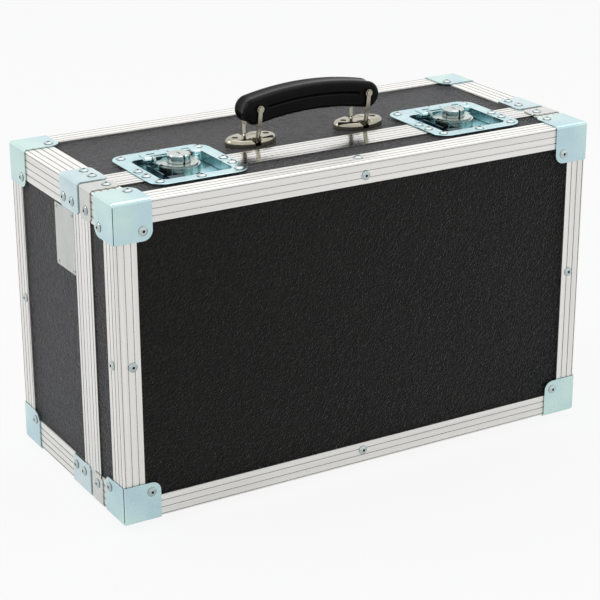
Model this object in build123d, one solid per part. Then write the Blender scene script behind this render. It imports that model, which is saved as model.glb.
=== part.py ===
from build123d import *
import os
from math import acos, asin, cos, degrees, radians, sin, sqrt

# Flight case: a deep rear base and a shallow front lid, hinged along the bottom front
# and held shut by two recessed twist latches on top. Millimetres, +X right, -Y front, +Z up.
# The origin is the floor point under the middle of the case.

# Aluminium envelope of the closed case
CASE_W = 520.0
CASE_D = 232.0
CASE_H = 311.0
LID_D = 67.5
SPLIT_GAP = 0.25
FOOT_H = 9.0

# Edge extrusions and the panels that they grip
ALU_T = 1.5
PANEL_T = 7.0
PANEL_FIT = 0.1
LEG_T = 1.2
LEG_LEN = 20.0
EDGE_R = 2.0
FLANGE_FRONT = 22.0
FLANGE_REAR = 25.0
FLANGE_DEPTH = 30.0
FLANGE_CLOSURE = 18.0
CLOSURE_LEG = 16.0
LINE_W = 0.9
LINE_DEEP = 0.45
LINE_FIRST = 2.4
LINE_PITCH = 6.8
JOINT_GAP = 0.1

# Tongue of the lid's closure and groove of the base's
GROOVE_DEEP = 6.0
TONGUE_LEN = 4.0
TONGUE_T = 2.5
TONGUE_OFFSET = 1.5

# Pressed steel corners and braces
PLATE_T = 1.3
PLATE_GAP = 0.05
PLATE_BEND_R = 3.35
CORNER_SEAM = 0.7
CORNER_SEAM_IN = 2.4
CORNER_LEG = 37.5
CORNER_R = 9.5
CORNER_RIVET = 28.0
BRACE_LEG = 30.0
BRACE_R = 6.0
BRACE_RIVET_IN = 20.0
BASE_BRACE_START = 4.5
BASE_BRACE_END = 44.5
BASE_BRACE_RIVETS = (18.5, 36.5)
LID_BRACE_START = 0.5
LID_BRACE_END = 22.5
LID_BRACE_RIVET = 12.0

# Rivets
RIVET_HEAD_R = 4.6
RIVET_HEAD_H = 1.7
RIVET_RIM = 0.35
RIVET_DIMPLE_R = 1.4
RIVET_DIMPLE = 1.3
RIVET_R = 2.4
RIVET_FIT = 0.05
RIVET_IN_FRONT = 14.0
RIVET_IN_REAR = 17.0

# Foam lining
FOAM_T = 10.0
FOAM_GAP = 0.3

# Latches, measured from the latch's middle and from the split line
LATCH_FROM_MID = 19.575
DISH_W = 101.0
DISH_FRONT = 39.0
DISH_REAR = 63.0
DISH_R = 16.0
DISH_T = 1.2
DISH_DEPTH = 9.7
PAN_HALF = 37.0
PAN_FRONT = 27.0
PAN_REAR = 41.5
PAN_R = 6.0
PAN_ROOM = 0.6
DISH_EDGE_R = 0.5
DISH_RIVET_IN = 6.3
DISH_RIVET_CORNER_IN = 10.0
DISH_RIVET_SPLIT = 8.6

ROTOR_Y = 13.0
SPINDLE_R = 4.0
SPINDLE_FIT = 0.06
CAM_R = 7.5
CAM_THROW = 2.5
DRUM_R = 20.0
DRUM_TOP = 1.6
LUG_PLATE_T = 1.4
DISC_R = 18.0
LUG_OUT = 21.0
LUG_T = 2.0
BOSS_R = 11.0
BOSS_H = 8.0
BOSS_CHAMFER = 0.9
BOSS_NOTCH_W = 2.4
BOSS_NOTCH_DEEP = 1.6
KEY_SLOT_L = 7.0
KEY_SLOT_W = 1.4
KEY_SLOT_DEEP = 1.2
WASHER_R = 8.0
WASHER_T = 1.0
PEEN_R = 5.0
PEEN_T = 1.4

WING_AXIS_Y = 14.5
WING_AXIS_Z = 4.2
WING_EYE_R = 2.6
WING_EYE_L = 7.2
WING_T = 1.4
WING_END_Y = 31.0
WING_R = 5.0
WING_PIN_R = 1.3
WING_PIN_FIT = 0.05
WING_PIN_HEAD_R = 2.1
WING_PIN_HEAD_T = 0.9
WING_SLOT_X = 18.0
WING_SLOT_Y = 23.0
WING_SLOT_L = 9.0
WING_SLOT_W = 3.4
WING_HOLE_R = 1.3
SIDE_PLAY = 0.3

HOOK_T = 1.5
HOOK_PLAY = 0.2
HOOK_LEFT = 26.0
HOOK_RIGHT = 14.5
HOOK_REAR = 29.0
HOOK_FRONT = 8.2
HOOK_RISER_T = 2.0
HOOK_RIB_T = 1.5
HOOK_RIB_TOP = -1.0
HOOK_CAM_PLAY = 1.0
CLAW_LEFT = 22.0
CLAW_RIGHT = 7.0
CLAW_TIP = 20.0
CLAW_TOP = -3.2
KEEPER_LIP_Y = 14.0
KEEPER_LIP_T = 1.5
KEEPER_LIP_PLAY = 0.3
KEEPER_LIP_SIDE = 2.0

# Hinges on the underside
HINGE_SIDE_IN = 110.0
HINGE_L = 60.0
HINGE_KNUCKLES = 5
HINGE_LEAF_T = 1.5
HINGE_LEAF_W = 16.5
HINGE_DROP = 3.8
HINGE_BARREL_R = 3.3
HINGE_PIN_R = 1.5
HINGE_PIN_FIT = 0.05
HINGE_PLAY = 0.2
HINGE_RIVET_Y = 10.5
HINGE_RIVET_PITCH = 21.0

# Rubber feet
FOOT_SIDE_IN = 60.0
LID_FOOT_IN = 35.0
BASE_FOOT_IN = 42.0
FOOT_TOP_R = 11.8
FOOT_BOTTOM_R = 10.4
FOOT_BORE_R = 5.0
FOOT_BORE_DEEP = 4.5
FOOT_SCREW_HEAD_R = 4.2
FOOT_SCREW_HEAD_H = 2.4

# Handle, with its pivots measured from the middle of the case and from the split line
HANDLE_FROM_SPLIT = 44.5
HANDLE_HALF = 61.0
BRACKET_L = 53.5
BRACKET_W = 32.0
BRACKET_H = 8.2
BRACKET_EDGE_R = 4.5
BRACKET_FLOOR = 1.4
BRACKET_SADDLE_FRONT = 8.4
BRACKET_SADDLE_REAR = 0.6
BRACKET_SLOT = 3.3
BRACKET_SCREW_X = 17.0
SCREW_HEAD_R = 3.3
SCREW_HEAD_H = 1.6
SCREW_SINK = 0.9
SCREW_SLOT_W = 1.0
SCREW_SLOT_DEEP = 0.7
SCREW_R = 2.0
LOOP_R = 2.1
LOOP_FIT = 0.3
LOOP_AXIS = 4.2
LOOP_LEN = 32.7
LOOP_FOOT = 12.5
LOOP_TOP = 15.0
LOOP_BEND = 4.0
LOOP_LEAN = 5.4
EYE_R = 3.6
EYE_T = 2.2
EYE_NECK = 22.0
GRIP_PIN_R = 1.6
GRIP_PIN_FIT = 0.06
GRIP_PIN_HEAD_R = 2.5
GRIP_PIN_HEAD_T = 1.0
GRIP_RISE = 6.3
GRIP_DROP = 2.9
GRIP_OVER = 15.0
GRIP_HALF_W = 13.5
GRIP_HALF_H = 13.2
GRIP_EDGE_R = 6.0
GRIP_GROOVE = 1.7
GRIP_GROOVE_UP = 1.5
GRIP_GROOVE_HALF = 51.0
GRIP_VALLEY = 0.8
GRIP_VALLEY_R = 30.0
CORE_T = 2.5
CORE_W = 14.0
CORE_FIT = 0.2
CORE_EYE_R = 3.8

# Bare nameplate on the left side
PLATE_NAME_FROM_SPLIT = 20.5
PLATE_NAME_W = 43.0
PLATE_NAME_TOP_IN = 32.0
PLATE_NAME_H = 61.0
PLATE_NAME_T = 0.8
PLATE_NAME_R = 2.0
PLATE_NAME_RIVET_IN = 3.5
SMALL_RIVET_R = 2.0
SMALL_RIVET_H = 0.8
SMALL_SHANK_R = 1.2

# Places worked out from the sizes above
X_SIDE = CASE_W / 2
Y_FRONT = -CASE_D / 2
Y_REAR = CASE_D / 2
Z_BOT = FOOT_H
Z_TOP = FOOT_H + CASE_H
Z_MID = (Z_BOT + Z_TOP) / 2
Y_SPLIT = Y_FRONT + LID_D
BRACKET_END = HANDLE_HALF + BRACKET_L / 2
LATCH_X = (BRACKET_END + X_SIDE) / 2 - LATCH_FROM_MID
HINGE_X = X_SIDE - HINGE_SIDE_IN
FOOT_X = X_SIDE - FOOT_SIDE_IN
PANEL_OUT = ALU_T + PANEL_FIT
PANEL_IN = PANEL_OUT + PANEL_T
LEG_OUT = PANEL_IN + PANEL_FIT
LEG_IN = LEG_OUT + LEG_T
PANEL_INSET = LEG_IN + JOINT_GAP
LID_PANEL_END = SPLIT_GAP + ALU_T + JOINT_GAP
BASE_PANEL_START = SPLIT_GAP + GROOVE_DEEP + ALU_T + JOINT_GAP
PLATE_TOP = PLATE_GAP + PLATE_T
FOAM_OUT = LEG_IN + FOAM_GAP
FOAM_IN = FOAM_OUT + FOAM_T
DISH_FLOOR = DISH_T - DISH_DEPTH
ALL = 1000.0
UP = (0, 0, 1)
DOWN = (0, 0, -1)


def block(xs, ys, zs):
    """Box between two x values, two y values and two z values."""
    (x0, x1), (y0, y1), (z0, z1) = sorted(xs), sorted(ys), sorted(zs)
    middle = Pos((x0 + x1) / 2, (y0 + y1) / 2, (z0 + z1) / 2)
    return middle * Box(x1 - x0, y1 - y0, z1 - z0)


def area(us, vs):
    """Rectangle of a sketch between two u values and two v values."""
    (u0, u1), (v0, v1) = sorted(us), sorted(vs)
    return Pos((u0 + u1) / 2, (v0 + v1) / 2) * Rectangle(u1 - u0, v1 - v0)


def rod(start, end, radius):
    """Cylinder from one point to another."""
    start, end = Vector(*start), Vector(*end)
    base = Plane(origin=start, z_dir=end - start)
    return extrude(base * Circle(radius), (end - start).length)


def group(shapes):
    """Separate solids of one named sub-part."""
    return Compound(children=[solid for shape in shapes for solid in shape.solids()])


def cut_all(shapes, tools):
    """Each shape with every tool taken out of it."""
    return [shape - tools if tools else shape for shape in shapes]


def envelope(grow, radius):
    """The closed case's outer form with rounded edges, grown by a distance."""
    body = block((-X_SIDE - grow, X_SIDE + grow), (Y_FRONT - grow, Y_REAR + grow), (Z_BOT - grow, Z_TOP + grow))
    return fillet(body.edges(), radius)


CASE = envelope(0, EDGE_R)
PLATE_SHELL = envelope(PLATE_TOP, PLATE_BEND_R) - envelope(PLATE_GAP, EDGE_R + PLATE_GAP)


def face_point(side, along, inset):
    """Point on the outer face near an edge of a ring: side is top, bottom, left or right."""
    return {
        "top": (along, inset, Z_TOP),
        "bottom": (along, inset, Z_BOT),
        "left": (-X_SIDE, inset, along),
        "right": (X_SIDE, inset, along),
    }[side]


OUTWARD = {"top": UP, "bottom": DOWN, "left": (-1, 0, 0), "right": (1, 0, 0)}


# Rivets
def domed_head(radius, height, rim, dimple_r, dimple):
    """Rivet head with a rim, a dome and a shallow dimple, standing on z = 0."""
    crown = (dimple_r, height)
    middle = ((radius + dimple_r) / 2, rim + (height - rim) * 0.78)
    outline = [
        Line((0, 0), (radius, 0)),
        Line((radius, 0), (radius, rim)),
        ThreePointArc((radius, rim), middle, crown),
        Line(crown, (dimple_r, height - dimple)),
        Line((dimple_r, height - dimple), (0, height - dimple)),
        Line((0, height - dimple), (0, 0)),
    ]
    return revolve(Plane.XZ * make_face(outline), Axis.Z)


RIVET = domed_head(RIVET_HEAD_R, RIVET_HEAD_H, RIVET_RIM, RIVET_DIMPLE_R, RIVET_DIMPLE)


def seat(point, outward, height):
    """Placement on an outer face, raised by a height above it."""
    origin = Vector(*point) + Vector(*outward) * height
    return Plane(origin=origin, z_dir=outward)


def rivet(point, outward, height):
    """Rivet whose head stands at a height above the outer face, with its shank through the wall."""
    shank = extrude(Circle(RIVET_R), -(height + LEG_IN))
    return seat(point, outward, height).location * (RIVET + shank)


def rivet_hole(point, outward):
    """Hole for a rivet's shank through the whole wall."""
    deep = LEG_IN + JOINT_GAP
    above = max(PLATE_TOP, HINGE_LEAF_T, DISH_T) + JOINT_GAP
    return seat(point, outward, above).location * extrude(Circle(RIVET_R + RIVET_FIT), -(above + deep))


def corner_points(sy):
    """Rivet places of the four corners at the front (sy = -1) or the rear (sy = 1)."""
    y_face = sy * CASE_D / 2
    points = []
    for sx in (-1, 1):
        for z_face, sz in ((Z_BOT, -1), (Z_TOP, 1)):
            x = sx * (X_SIDE - CORNER_RIVET)
            y = sy * (CASE_D / 2 - CORNER_RIVET)
            z = z_face - sz * CORNER_RIVET
            points.append(((x, y_face, z), (0, sy, 0)))
            points.append(((sx * X_SIDE, y, z), (sx, 0, 0)))
            points.append(((x, y, z_face), (0, 0, sz)))
    return points


def brace_points(distances, sy):
    """Rivet places of the four braces, at distances from the split towards sy."""
    points = []
    for sx in (-1, 1):
        for z_face, sz in ((Z_BOT, -1), (Z_TOP, 1)):
            for distance in distances:
                y = Y_SPLIT + sy * distance
                points.append(((sx * X_SIDE, y, z_face - sz * BRACE_RIVET_IN), (sx, 0, 0)))
                points.append(((sx * (X_SIDE - BRACE_RIVET_IN), y, z_face), (0, 0, sz)))
    return points


def ring_points(sy, inset):
    """Mid-span rivet places on both flanges of the front or the rear ring."""
    y_face = sy * CASE_D / 2
    y = sy * (CASE_D / 2 - inset)
    points = []
    for side, along in (("top", 0), ("bottom", 0), ("left", Z_MID), ("right", Z_MID)):
        points.append((face_point(side, along, y), OUTWARD[side]))
        x, _, z = face_point(side, along, y)
        out = OUTWARD[side]
        points.append(((x - out[0] * inset, y_face, z - out[2] * inset), (0, sy, 0)))
    return points


def dish_points(x0):
    """Rivet places of one latch dish: rear half and front half."""
    half = DISH_W / 2
    rear = [
        (0, DISH_REAR - DISH_RIVET_IN),
        (half - DISH_RIVET_CORNER_IN, DISH_REAR - DISH_RIVET_CORNER_IN),
        (-half + DISH_RIVET_CORNER_IN, DISH_REAR - DISH_RIVET_CORNER_IN),
        (half - DISH_RIVET_IN, DISH_RIVET_SPLIT),
        (-half + DISH_RIVET_IN, DISH_RIVET_SPLIT),
    ]
    front = [
        (0, -DISH_FRONT + DISH_RIVET_IN),
        (half - DISH_RIVET_CORNER_IN, -DISH_FRONT + DISH_RIVET_CORNER_IN),
        (-half + DISH_RIVET_CORNER_IN, -DISH_FRONT + DISH_RIVET_CORNER_IN),
        (half - DISH_RIVET_IN, -DISH_RIVET_SPLIT),
        (-half + DISH_RIVET_IN, -DISH_RIVET_SPLIT),
    ]

    def place(points):
        return [((x0 + x, Y_SPLIT + y, Z_TOP), UP) for x, y in points]

    return place(rear), place(front)


def hinge_points(sy):
    """Rivet places of both hinges' leaves on the underside."""
    return [
        ((sx * HINGE_X + step * HINGE_RIVET_PITCH, Y_SPLIT + sy * HINGE_RIVET_Y, Z_BOT), DOWN)
        for sx in (-1, 1)
        for step in (-1, 0, 1)
    ]


DISH_POINTS = [dish_points(-LATCH_X), dish_points(LATCH_X)]
LID_SETS = [
    (corner_points(-1), PLATE_TOP),
    (brace_points([LID_BRACE_RIVET], -1), PLATE_TOP),
    (ring_points(-1, RIVET_IN_FRONT), 0),
    (DISH_POINTS[0][1] + DISH_POINTS[1][1], DISH_T),
    (hinge_points(-1), HINGE_LEAF_T),
]
BASE_SETS = [
    (corner_points(1), PLATE_TOP),
    (brace_points(BASE_BRACE_RIVETS, 1), PLATE_TOP),
    (ring_points(1, RIVET_IN_REAR), 0),
    (DISH_POINTS[0][0] + DISH_POINTS[1][0], DISH_T),
    (hinge_points(1), HINGE_LEAF_T),
]


def rivets_of(sets):
    return [rivet(point, out, height) for points, height in sets for point, out in points]


def holes_of(sets):
    return [rivet_hole(point, out) for points, _ in sets for point, out in points]


LID_HOLES = holes_of(LID_SETS)
BASE_HOLES = holes_of(BASE_SETS)


# Edge extrusions
def lines(reach, first, face):
    """Decorative lines pressed into a flange; face is u or v, the direction the flange runs in."""
    count = int((reach - first) // LINE_PITCH) + 1
    marks = []
    for n in range(count):
        middle = first + n * LINE_PITCH
        along, deep = (middle - LINE_W / 2, middle + LINE_W / 2), (-1, LINE_DEEP)
        marks.append(area(along, deep) if face == "u" else area(deep, along))
    return marks


def angle_section(flange):
    """Edge extrusion: two flanges outside, a corner tube and two inner legs that grip the panels."""
    outer = area((0, flange), (0, ALU_T)) + area((0, ALU_T), (0, flange))
    tube = area((0, LEG_IN), (0, LEG_IN)) - area((ALU_T, LEG_IN - ALU_T), (ALU_T, LEG_IN - ALU_T))
    legs = area((0, LEG_LEN), (LEG_OUT, LEG_IN)) + area((LEG_OUT, LEG_IN), (0, LEG_LEN))
    legs -= area((0, LEG_IN - ALU_T), (0, LEG_IN - ALU_T))
    section = outer + tube + legs
    return section - lines(flange, LINE_FIRST, "u") - lines(flange, LINE_FIRST, "v")


def closure_section(web_start, tongue):
    """Closure extrusion; u is the depth from the outer face, v the distance from the split."""
    section = area((0, ALU_T), (SPLIT_GAP, FLANGE_CLOSURE))
    section += area((LEG_OUT, LEG_IN), (SPLIT_GAP, CLOSURE_LEG))
    section += area((0, LEG_IN), (web_start, web_start + ALU_T))
    if tongue:
        u = ALU_T + TONGUE_OFFSET
        section += area((u, u + TONGUE_T), (-TONGUE_LEN, web_start))
    return section - lines(FLANGE_CLOSURE, LINE_PITCH, "v")


def bar(section, start, end, u_dir, v_dir):
    """Section drawn along an edge from start to end, its axes pointing along u_dir and v_dir."""
    start, end = Vector(*start), Vector(*end)
    along = (end - start).normalized()
    if along.cross(Vector(*u_dir)).dot(Vector(*v_dir)) < 0:
        start, end, along = end, start, along * -1
    plane = Plane(origin=start, x_dir=u_dir, z_dir=along)
    return extrude(plane * section, (end - start).length)


def mitre(side):
    """Prism that keeps one side of a ring, cut at 45 degrees at the case's corners."""
    reach = FLANGE_DEPTH * 2
    x, g = X_SIDE, JOINT_GAP / 2
    outlines = {
        "top": [(-x + g, Z_TOP), (x - g, Z_TOP), (x - reach - g, Z_TOP - reach), (-x + reach + g, Z_TOP - reach)],
        "bottom": [(-x + g, Z_BOT), (x - g, Z_BOT), (x - reach - g, Z_BOT + reach), (-x + reach + g, Z_BOT + reach)],
        "left": [(-x, Z_BOT + g), (-x, Z_TOP - g), (reach - x, Z_TOP - reach - g), (reach - x, Z_BOT + reach + g)],
        "right": [(x, Z_BOT + g), (x, Z_TOP - g), (x - reach, Z_TOP - reach - g), (x - reach, Z_BOT + reach + g)],
    }
    return extrude(Plane.XZ * make_face(Polyline(outlines[side], close=True)), CASE_D, both=True)


def ring(section, y, v_dir):
    """Four mitred lengths of one section round the case at a depth y."""
    ends = {
        "top": ((-X_SIDE, y, Z_TOP), (X_SIDE, y, Z_TOP)),
        "bottom": ((-X_SIDE, y, Z_BOT), (X_SIDE, y, Z_BOT)),
        "left": ((-X_SIDE, y, Z_BOT), (-X_SIDE, y, Z_TOP)),
        "right": ((X_SIDE, y, Z_BOT), (X_SIDE, y, Z_TOP)),
    }
    lengths = []
    for side, (start, end) in ends.items():
        inward = tuple(-c for c in OUTWARD[side])
        lengths.append(bar(section, start, end, inward, v_dir) & mitre(side) & CASE)
    return lengths


def depth_edges(y0, y1):
    """Four lengths along the case's depth."""
    section = angle_section(FLANGE_DEPTH)
    lengths = []
    for sx in (-1, 1):
        for z, sz in ((Z_BOT, -1), (Z_TOP, 1)):
            ends = (sx * X_SIDE, y0 + JOINT_GAP, z), (sx * X_SIDE, y1 - JOINT_GAP, z)
            lengths.append(bar(section, *ends, (-sx, 0, 0), (0, 0, -sz)) & CASE)
    return lengths


def pan_holes():
    """Openings in the wall for both latch dishes."""
    room = DISH_T + PAN_ROOM
    ys = (Y_SPLIT - PAN_FRONT - room, Y_SPLIT + PAN_REAR + room)
    zs = (Z_TOP - LEG_IN - JOINT_GAP, Z_TOP + JOINT_GAP)
    return [block((x0 - PAN_HALF - room, x0 + PAN_HALF + room), ys, zs) for x0 in (-LATCH_X, LATCH_X)]


# Panels
def face_panel(sy):
    """Front or back panel."""
    y_face = sy * CASE_D / 2
    return block(
        (-X_SIDE + PANEL_INSET, X_SIDE - PANEL_INSET),
        (y_face - sy * PANEL_OUT, y_face - sy * PANEL_IN),
        (Z_BOT + PANEL_INSET, Z_TOP - PANEL_INSET),
    )


def wall_panels(y0, y1):
    """Left, right, top and bottom panel between two depths."""
    xs = (-X_SIDE + PANEL_INSET, X_SIDE - PANEL_INSET)
    zs = (Z_BOT + PANEL_INSET, Z_TOP - PANEL_INSET)
    return {
        "left": block((-X_SIDE + PANEL_OUT, -X_SIDE + PANEL_IN), (y0, y1), zs),
        "right": block((X_SIDE - PANEL_OUT, X_SIDE - PANEL_IN), (y0, y1), zs),
        "top": block(xs, (y0, y1), (Z_TOP - PANEL_OUT, Z_TOP - PANEL_IN)),
        "bottom": block(xs, (y0, y1), (Z_BOT + PANEL_OUT, Z_BOT + PANEL_IN)),
    }


# Corners and braces
def round_off(radius):
    """Sketch of what a rounded corner takes away, with the corner at the origin and the plate at -u, -v."""
    square = area((-radius, 1), (-radius, 1))
    return square - Pos(-radius, -radius) * Circle(radius)


def rounded_tip(point, out, u_dir, radius):
    """Tool that rounds a plate's free corner at a point; u_dir points off the plate's end."""
    plane = Plane(origin=point, x_dir=u_dir, z_dir=out)
    return extrude(plane * round_off(radius), ALL / 100, both=True)


def corner(sx, sy, sz):
    """Three-way corner plate with rounded free corners and an open seam down its upright edge."""
    leg, over = CORNER_LEG, PLATE_TOP
    z_face = Z_TOP if sz > 0 else Z_BOT
    ends = (sx * (X_SIDE - leg), sy * (CASE_D / 2 - leg), z_face - sz * leg)
    region = block(
        (sx * (X_SIDE + over), ends[0]), (sy * (CASE_D / 2 + over), ends[1]), (z_face + sz * over, ends[2])
    )
    plate = PLATE_SHELL & region
    faces = [
        ((ends[0], sy * CASE_D / 2, ends[2]), (0, sy, 0), [(-sx, 0, 0), (0, 0, -sz)]),
        ((sx * X_SIDE, ends[1], ends[2]), (sx, 0, 0), [(0, -sy, 0), (0, 0, -sz)]),
        ((ends[0], ends[1], z_face), (0, 0, sz), [(-sx, 0, 0), (0, -sy, 0)]),
    ]
    for point, out, (first, second) in faces:
        if Vector(*out).cross(Vector(*first)).dot(Vector(*second)) < 0:
            first = second
        plate -= rounded_tip(point, out, first, CORNER_R)
    seam_zs = (z_face - sz * (leg + over), z_face - sz * CORNER_SEAM_IN)
    seam = block((-leg / 4, leg / 4), (-CORNER_SEAM / 2, CORNER_SEAM / 2), seam_zs)
    return plate - Pos(sx * X_SIDE, sy * CASE_D / 2) * (Rot(0, 0, 45 * sx * sy) * seam)


def brace(sx, sz, start, end, sy):
    """Bent plate over a depth edge beside the split, rounded at its two ends away from the edge."""
    z_face = Z_TOP if sz > 0 else Z_BOT
    y0, y1 = Y_SPLIT + sy * start, Y_SPLIT + sy * end
    x_end, z_end = sx * (X_SIDE - BRACE_LEG), z_face - sz * BRACE_LEG
    plate = PLATE_SHELL & block((sx * (X_SIDE + PLATE_TOP), x_end), (y0, y1), (z_face + sz * PLATE_TOP, z_end))
    for y, end_dir in ((y0, -sy), (y1, sy)):
        for point, out, inward in (
            ((sx * X_SIDE, y, z_end), (sx, 0, 0), (0, 0, -sz)),
            ((x_end, y, z_face), (0, 0, sz), (-sx, 0, 0)),
        ):
            first, second = (0, end_dir, 0), inward
            if Vector(*out).cross(Vector(*first)).dot(Vector(*second)) < 0:
                first = second
            plate -= rounded_tip(point, out, first, BRACE_R)
    return plate


EIGHTHS = [(sx, sz) for sx in (-1, 1) for sz in (-1, 1)]


# Latches, drawn at x = 0 with the split at y = 0 and the case's top at z = 0
def dish():
    """Pressed dish with a flange round a pan, before it is parted at the split."""
    y_mid = (DISH_REAR - DISH_FRONT) / 2
    flange = extrude(Pos(0, y_mid) * RectangleRounded(DISH_W, DISH_REAR + DISH_FRONT, DISH_R), DISH_T)
    flange = fillet(flange.faces().sort_by(Axis.Z)[-1].edges(), DISH_EDGE_R)
    pan_y = (PAN_REAR - PAN_FRONT) / 2
    wide, long = PAN_HALF * 2, PAN_REAR + PAN_FRONT
    outside = RectangleRounded(wide + 2 * DISH_T, long + 2 * DISH_T, PAN_R + DISH_T)
    pan = Pos(0, pan_y, DISH_FLOOR - DISH_T) * extrude(outside, DISH_DEPTH + DISH_T - DISH_T / 2)
    room = Pos(0, pan_y, DISH_FLOOR) * extrude(RectangleRounded(wide, long, PAN_R), DISH_DEPTH + 1)
    return flange + pan - room


def rear_half():
    return block((-ALL, ALL), (SPLIT_GAP, ALL), (-ALL, ALL))


def front_half():
    return block((-ALL, ALL), (-SPLIT_GAP, -ALL), (-ALL, ALL))


def latch_dish():
    floor_hole = Pos(0, ROTOR_Y, DISH_FLOOR) * Cylinder(SPINDLE_R + SPINDLE_FIT, 4 * DISH_T)
    return (dish() & rear_half()) - floor_hole


HOOK_BOTTOM = DISH_FLOOR + HOOK_PLAY
HOOK_TOP = HOOK_BOTTOM + HOOK_T
DRUM_BOTTOM = HOOK_TOP + HOOK_PLAY
CLAW_BOTTOM = CLAW_TOP - HOOK_T


def latch_keeper():
    """Front half of the dish with the lip that the hook's claw reaches over."""
    lip = block(
        (-CLAW_LEFT - KEEPER_LIP_SIDE, -CLAW_RIGHT + KEEPER_LIP_SIDE),
        (-KEEPER_LIP_Y, -KEEPER_LIP_Y - KEEPER_LIP_T),
        (DISH_FLOOR - DISH_T / 2, CLAW_BOTTOM - KEEPER_LIP_PLAY),
    )
    return (dish() & front_half()) + lip


def latch_rotor():
    """Spindle, eccentric cam, drum, lug plate with its two lugs, and the centre boss."""
    spindle_end = DISH_FLOOR - DISH_T - HOOK_PLAY - WASHER_T
    body = Pos(0, 0, spindle_end - PEEN_T) * extrude(Circle(SPINDLE_R), DRUM_BOTTOM - spindle_end + PEEN_T)
    body += Pos(0, 0, spindle_end - PEEN_T) * extrude(Circle(PEEN_R), PEEN_T)
    body += Pos(0, CAM_THROW, HOOK_BOTTOM) * extrude(Circle(CAM_R), DRUM_BOTTOM - HOOK_BOTTOM)
    drum = Pos(0, 0, DRUM_BOTTOM) * extrude(Circle(DRUM_R), DRUM_TOP - DRUM_BOTTOM)
    body += drum
    plate = Circle(DISC_R) + area((-LUG_OUT, LUG_OUT), (0, WING_AXIS_Y - WING_EYE_R))
    plate_top = DRUM_TOP + LUG_PLATE_T
    body += Pos(0, 0, DRUM_TOP) * extrude(plate, LUG_PLATE_T)
    lug_r = WING_EYE_R + SIDE_PLAY
    for sx in (-1, 1):
        xs = (sx * (LUG_OUT - LUG_T), sx * LUG_OUT)
        lug = block(xs, (WING_AXIS_Y - 2 * lug_r, WING_AXIS_Y), (DRUM_TOP, WING_AXIS_Z + lug_r))
        axis = [(x, WING_AXIS_Y, WING_AXIS_Z) for x in xs]
        lug = (lug + rod(*axis, lug_r)) & block((-ALL, ALL), (-ALL, ALL), (DRUM_TOP, ALL))
        body += lug
        body -= rod(*axis, WING_PIN_R + PLATE_GAP / 2)
    boss = Pos(0, 0, plate_top) * extrude(Circle(BOSS_R), BOSS_H)
    boss = chamfer(boss.edges().sort_by(Axis.Z)[-1], BOSS_CHAMFER)
    boss_top = plate_top + BOSS_H
    notch_y = (-BOSS_R - 1, -BOSS_R + BOSS_NOTCH_DEEP)
    boss -= block((-BOSS_NOTCH_W / 2, BOSS_NOTCH_W / 2), notch_y, (plate_top, boss_top + 1))
    key = RectangleRounded(KEY_SLOT_W, KEY_SLOT_L, KEY_SLOT_W * 0.45)
    boss -= Pos(0, 0, boss_top - KEY_SLOT_DEEP) * extrude(key, KEY_SLOT_DEEP + 1)
    return Pos(0, ROTOR_Y) * (body + boss)


def latch_washer():
    top = DISH_FLOOR - DISH_T - HOOK_PLAY
    ring_face = Circle(WASHER_R) - Circle(SPINDLE_R + PLATE_GAP / 2)
    return Pos(0, ROTOR_Y, top - WASHER_T) * extrude(ring_face, WASHER_T)


def latch_wing():
    """Folding wing: two rolled eyes joined by a plate that lies back over the dish."""
    eye_x = LUG_OUT + SIDE_PLAY
    out_x = eye_x + WING_EYE_L
    plate_top = WING_AXIS_Z + WING_EYE_R
    free_y = WING_AXIS_Y + WING_EYE_R + 2 * SIDE_PLAY
    outline = Pos(0, (WING_AXIS_Y + WING_END_Y) / 2) * Rectangle(2 * out_x, WING_END_Y - WING_AXIS_Y)
    rear_corners = outline.vertices().sort_by(Axis.Y)[-2:]
    outline = fillet(rear_corners, WING_R)
    outline -= area((-eye_x, eye_x), (0, free_y))
    for sx in (-1, 1):
        outline -= Pos(sx * WING_SLOT_X, WING_SLOT_Y) * SlotOverall(WING_SLOT_L, WING_SLOT_W)
    outline -= Pos(0, WING_SLOT_Y) * Circle(WING_HOLE_R)
    wing = Pos(0, 0, plate_top - WING_T) * extrude(outline, WING_T)
    for sx in (-1, 1):
        ends = [(sx * x, WING_AXIS_Y, WING_AXIS_Z) for x in (eye_x, out_x)]
        wing += rod(*ends, WING_EYE_R)
    for sx in (-1, 1):
        ends = [(sx * x, WING_AXIS_Y, WING_AXIS_Z) for x in (eye_x - 1, out_x + 1)]
        wing -= rod(*ends, WING_PIN_R + WING_PIN_FIT)
    return Pos(0, ROTOR_Y) * wing


def latch_wing_pins():
    """Headed pins through the lugs and the wing's eyes."""
    pins = []
    head_x = LUG_OUT + 2 * SIDE_PLAY + WING_EYE_L
    for sx in (-1, 1):
        ends = [(sx * x, WING_AXIS_Y, WING_AXIS_Z) for x in (LUG_OUT - LUG_T - SIDE_PLAY, head_x)]
        head = [(sx * x, WING_AXIS_Y, WING_AXIS_Z) for x in (head_x, head_x + WING_PIN_HEAD_T)]
        pins.append(Pos(0, ROTOR_Y) * (rod(*ends, WING_PIN_R) + rod(*head, WING_PIN_HEAD_R)))
    return pins


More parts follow.
